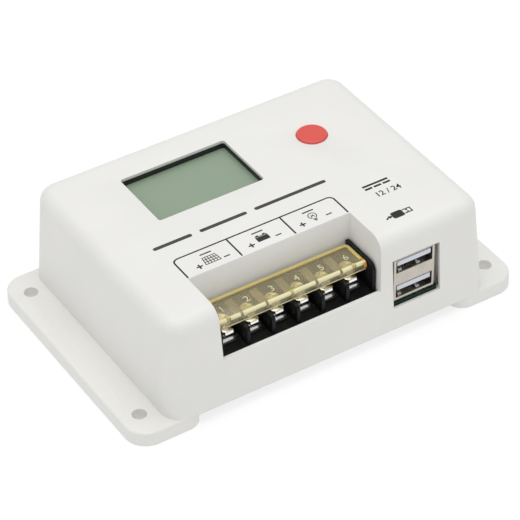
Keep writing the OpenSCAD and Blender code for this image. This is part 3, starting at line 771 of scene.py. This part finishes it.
# ---------------------------------------------------------------- hinged terminal cover
COVER_Y0, COVER_Y1 = COVER_LOW[1], COVER_HIGH[1]
PANEL_TOP = COVER_HIGH[2] - 0.5
PANEL_LOW = PANEL_TOP - 1.0
COVER_HALF = (BLOCK_HIGH[0] - BLOCK_LOW[0]) / 2 - 1.3 - 0.1
HINGE = next(j for j in frame["joints"] if j["name"] == "cover_hinge")
HINGE_Y, HINGE_Z = HINGE["pos_m"][1] / MM, HINGE["pos_m"][2] / MM
PIN_R = 0.8
RAIL_W = 1.4
RAIL_GAP = 1.0
KNOB_XS = (-24.0, 0.0, 24.0)
KNOB_R = 0.62
RIM_W = 1.25
END_W = 1.15
RIB_W = 3.0


def cover_panel():
    """Flat panel with a curled front skirt, a cheek at each end and the two hinge pins."""
    x0, x1 = BAY_CX - COVER_HALF, BAY_CX + COVER_HALF
    skirt_t, side_t, curl, fillet, pin_l = 0.9, 1.0, 1.1, 0.5, 1.2
    inner = COVER_Y0 + skirt_t
    profile = [(COVER_Y0, COVER_LOW[2])]
    profile += arc_points((COVER_Y0 + curl, PANEL_TOP - curl), curl, 180, 90, 6)
    profile += [(COVER_Y1, PANEL_TOP), (COVER_Y1, PANEL_LOW), (inner + fillet, PANEL_LOW),
                (inner, PANEL_LOW - fillet), (inner, COVER_LOW[2])]
    panel = prism("cover_panel", profile, x0, x1, "yz")
    front, low, high = COVER_Y0 + 0.3, COVER_LOW[2] + 0.1, PANEL_LOW + 0.4
    cheek = [(front, low), (front, high), (HINGE_Y, high), (HINGE_Y, HINGE_Z - PIN_R), (HINGE_Y - 2.5, low)]
    for x in (x0, x1 - side_t):
        join(panel, prism("cheek", cheek, x, x + side_t, "yz"))
    for inside, outside in ((x0 + side_t, x0 - pin_l), (x1 - side_t, x1 + pin_l)):
        ends = sorted((inside, outside))
        join(panel, rod("pin", (HINGE_Y, HINGE_Z), PIN_R, *ends, "yz"))
    round_edges(panel, 0.12, 2)
    return fit(panel, "cover", "clear_yellow", CLEAR_YELLOW, "terminal_cover")


def cover_rail():
    """Raised front rail in lengths, with a gap at each way's edge and a wider one around each knob."""
    bm = bmesh.new()
    half = COVER_HALF - 0.1
    gaps = [PITCH * k for k in range(-2, 3)]
    edges = [-half] + [g for gap in gaps for g in (gap - RAIL_GAP / 2, gap + RAIL_GAP / 2)] + [half]
    front, back = COVER_Y0 + 0.05, COVER_Y0 + RAIL_W
    outline = [(front, PANEL_TOP - 0.6), (back, PANEL_TOP - 0.6), (back, PANEL_TOP + 0.2),
               (back - 0.3, COVER_HIGH[2]), (front + 0.3, COVER_HIGH[2]), (front, PANEL_TOP + 0.2)]
    for low, high in zip(edges[::2], edges[1::2]):
        cuts = [k for k in KNOB_XS if low + 0.6 < k < high - 0.6]
        spans = [(low, high)] if not cuts else [(low, cuts[0] - 0.75), (cuts[0] + 0.75, high)]
        for a, b in spans:
            add_prism(bm, outline, BAY_CX + a, BAY_CX + b, "yz")
    rail = round_edges(new_object("cover_rail", bm), 0.1, 2)
    # The rail wears the pale, nearly opaque copy of the cover plastic: painted highlight.
    fit(rail, "cover", "clear_yellow", RAIL_HIGHLIGHT_YELLOW)


def cover_knobs():
    bm = bmesh.new()
    for x in KNOB_XS:
        add_prism(bm, disc((BAY_CX + x, COVER_Y0 + 0.78), KNOB_R, 20), PANEL_TOP - 0.6, COVER_HIGH[2] + 0.25)
    knobs = round_edges(new_object("cover_knobs", bm), 0.15, 2)
    # Knobs in the gold copy of the cover plastic: partly the thick plastic's tint, partly painted highlight.
    fit(knobs, "cover", "clear_yellow", LIT_GOLD_YELLOW)


def cover_lower_edge():
    """A strip standing a hair proud of the lower edge of the skirt, in the pale copy of the cover plastic: a
    painted highlight along that edge.
    """
    half, proud = COVER_HALF - 0.1, 0.02
    outline = rectangle(COVER_Y0 - proud, COVER_LOW[2] - proud, COVER_Y0 + 0.5, COVER_LOW[2] + 0.4)
    lower = prism("cover_lower_edge", outline, BAY_CX - half, BAY_CX + half, "yz")
    fit(round_edges(lower, 0.08, 2), "cover", "clear_yellow", RAIL_HIGHLIGHT_YELLOW)


def cover_rims():
    """Rim that runs along the back of the panel and down both ends to the front."""
    r, inset = 1.3, 0.65
    x = COVER_HALF - inset
    y0, y1 = COVER_Y0 + 1.9, COVER_Y1 - inset
    left = [(-x, y0)] + arc_points((-x + r, y1 - r), r, 180, 90, 6)
    right = arc_points((x - r, y1 - r), r, 90, 0, 6) + [(x, y0)]
    outline = [(BAY_CX + a, b) for a, b in line_outline(left + right, RIM_W)]
    rim = round_edges(prism("cover_rim", outline, PANEL_TOP - 0.5, PANEL_TOP + 0.34), 0.14, 2)
    # Rim in the gold copy of the cover plastic: the thick plastic's deeper tint, with painted light caught inside
    # it.
    fit(rim, "cover", "clear_yellow", LIT_GOLD_YELLOW)
    for name, side in (("cover_end_left", -1), ("cover_end_right", 1)):
        curve = [(y0 + 0.35, PANEL_TOP + 0.1)]
        curve += arc_points((COVER_Y0 + 1.3, PANEL_TOP - 1.3), 1.45, 80, 190)
        low, high = sorted((BAY_CX + side * (COVER_HALF - END_W), BAY_CX + side * (COVER_HALF - 0.02)))
        end = prism(name, line_outline(curve, 0.8), low, high, "yz")
        fit(round_edges(end, 0.1, 2), "cover", "clear_yellow", AMBER)


def cover_ribs():
    """Shallow ribs under the panel, over the block's barriers."""
    bm = bmesh.new()
    limit = COVER_HALF - 1.1
    y0, y1 = COVER_Y0 + 1.9, COVER_Y1 - 2.2
    for k in range(WAYS + 1):
        x = PITCH * (k - WAYS / 2)
        low, high = max(x - RIB_W / 2, -limit), min(x + RIB_W / 2, limit)
        outline = rectangle(BAY_CX + low, y0, BAY_CX + high, y1)
        add_prism(bm, outline, PANEL_LOW - 0.3, PANEL_LOW + 0.1)
    ribs = round_edges(new_object("cover_ribs", bm), 0.1, 2)
    # The ribs wear the paler, hazier copy of the cover plastic: painted light.
    fit(ribs, "cover", "clear_yellow", RIB_LIT_YELLOW)


def cover_numbers():
    """The numbers of the ways, raised a little from the panel."""
    size, y, low, high = 3.9, -33.9, PANEL_TOP - 0.1, PANEL_TOP + 0.18
    for i in range(1, WAYS + 1):
        digit = number_mesh("cover_number_%d" % i, str(i), size, way_x(i) + 0.3, y, low, high)
        # Digits in the paler, hazier copy of the cover plastic: painted highlight.
        fit(digit, "cover", "clear_yellow", DIGIT_HIGHLIGHT_YELLOW)


# ---------------------------------------------------------------- USB sockets
def port_z(name):
    """Middle height of a socket."""
    return mount(name)["pos_m"][2] / MM


def usb_shell():
    """The shell, with each port opened to within a thin lip of its left wall."""
    lip, reach, face = 0.4, 1.2, 0.45
    shell = bpy.data.objects.new("usb_shell_fine", frame["nodes"]["usb_shell"].data.copy())
    bpy.context.scene.collection.objects.link(shell)
    half = PORT_H / 2 - 0.01
    for name in PORTS:
        z = port_z(name)
        cut(shell, block("port_side", (SHELL_LOW[0] + lip, SHELL_LOW[1] - 1, z - half),
                         (SHELL_LOW[0] + reach, SHELL_LOW[1] + face, z + half)))
    round_edges(shell, 0.08, 2)
    fit(shell, "case", "usb_metal", USB_STEEL, "usb_shell")


def usb_springs():
    """Two sprung tongues in the floor of each port, pressed up out of the shell."""
    bm = bmesh.new()
    half_w, sheet = 0.7, 0.22
    hump = ((0.9, 0.1), (1.7, 0.5), (2.4, 0.85), (3.2, 0.85), (4.2, 0.5), (5.6, 0.1))
    for name in PORTS:
        floor = port_z(name) - PORT_H / 2
        outline = line_outline([(SHELL_LOW[1] + y, floor + z) for y, z in hump], sheet)
        for side in (-1, 1):
            x = USB_CX - 1.4 + side * 3.6
            add_prism(bm, outline, x - half_w, x + half_w, "yz")
    springs = round_edges(new_object("usb_springs", bm), 0.05, 1)
    fit(springs, "case", "usb_metal", NICKEL)


# ---------------------------------------------------------------- all the pieces
case_shell()
terminal_frame_print()
polarity_print()
panel_icon()
battery_icon()
lamp_icon()
plain_bars()
rating_print()
plug_icon()
cover_panel()
cover_rail()
cover_knobs()
cover_lower_edge()
cover_rims()
cover_ribs()
cover_numbers()
usb_shell()
usb_springs()
refined("terminal_housing", 0.14, "case", "black_plastic", BLACK)
refined("terminal_contacts", 0.12, "case", "tinned_contacts", TIN, lean=0.6)
for way in range(1, WAYS + 1):
    refined("clamp_plate_%d" % way, 0.12, "clamp_%d" % way, "nickel_clamps", NICKEL, lean=0.4)
    refined("terminal_screw_%d" % way, 0.1, "screw_%d" % way, "nickel_clamps", NICKEL)
refined("usb_insulator", 0.1, "case", "usb_plastic", USB_PLASTIC)
refined("button_cap", 0.28, "button", "red_plastic", RED, 3)
refined("lcd_bezel", 0.12, "case", "black_plastic", BEZEL)
refined("base_plate", 0.15, "case", "aluminium_plate", ALUMINIUM)
repaint(PANEL, "lcd_glass")
repaint(DIFFUSER, "lcd_backlight")
repaint(BOARD, "main_pcb", "display_pcb")
repaint(STEEL, "base_screws", "pcb_screws", "display_screws", "mosfet_screws")
repaint(BRASS, "standoffs")
repaint(GOLD, "usb_contacts", "header_leads")
repaint(BLACK, "switch_plunger", "switch_body", "header_strips")
repaint(TIN, "lcd_leads", "mosfet_leadframes", "chip_leads", "current_shunt", "crystal")
repaint(EPOXY, "mosfet_bodies", "microcontroller", "driver_chips", "diodes", "chip_resistors", "thermistor")
repaint(PAD, "thermal_pads")
repaint(SLEEVE, "electrolytic_capacitors")
repaint(FERRITE, "inductor_core")
repaint(COPPER, "inductor_winding")
repaint(CERAMIC, "chip_capacitors")

# ---------------------------------------------------------------- camera, light and floor
AZIMUTH, ELEVATION, ROLL = math.radians(-31.52), math.radians(39.27), math.radians(-1.27)
CAMERA_AT = Vector((-0.35179, -0.57484, 0.56440))
LENS = 178.4


def add_camera():
    back = Vector((math.sin(AZIMUTH) * math.cos(ELEVATION), -math.cos(AZIMUTH) * math.cos(ELEVATION),
                   math.sin(ELEVATION)))
    level = (-back).cross(Vector((0, 0, 1))).normalized()
    upright = level.cross(-back)
    x = math.cos(ROLL) * level + math.sin(ROLL) * upright
    y = -math.sin(ROLL) * level + math.cos(ROLL) * upright
    data = bpy.data.cameras.new("camera")
    data.lens = LENS
    data.sensor_width = 36
    data.clip_start, data.clip_end = 0.05, 10
    camera = bpy.data.objects.new("camera", data)
    camera.matrix_world = Matrix(((x.x, y.x, back.x, CAMERA_AT.x), (x.y, y.y, back.y, CAMERA_AT.y),
                                  (x.z, y.z, back.z, CAMERA_AT.z), (0, 0, 0, 1)))
    bpy.context.scene.collection.objects.link(camera)
    bpy.context.scene.camera = camera


def add_light(name, place, size, watts):
    data = bpy.data.lights.new(name, "AREA")
    data.size = size
    data.energy = watts
    lamp = bpy.data.objects.new(name, data)
    lamp.location = place
    lamp.rotation_euler = (-Vector(place)).to_track_quat("-Z", "Y").to_euler()
    bpy.context.scene.collection.objects.link(lamp)


def add_world(strength):
    world = bpy.data.worlds.new("world")
    world.use_nodes = True
    background = world.node_tree.nodes["Background"]
    background.inputs["Color"].default_value = (1, 1, 1, 1)
    background.inputs["Strength"].default_value = strength
    bpy.context.scene.world = world


def add_floor():
    half, depth = 3000, 10
    floor = block("floor", (-half, -half, -depth), (half, half, 0))
    look = Look("floor_paper", Roughness=0.9, Emission_Color=(1, 1, 1, 1), Emission_Strength=0.67)
    look.colour(look.noise(6, 2.0), (0.3, (0.33, 0.33, 0.33)), (0.7, (0.35, 0.35, 0.35)))
    floor.data.materials.append(look.material)


add_camera()
add_world(0.525)
add_light("key_light", (-0.06, -0.04, 1.2), 1.5, 11.3)
add_floor()
bpy.context.scene.view_settings.view_transform = "Standard"
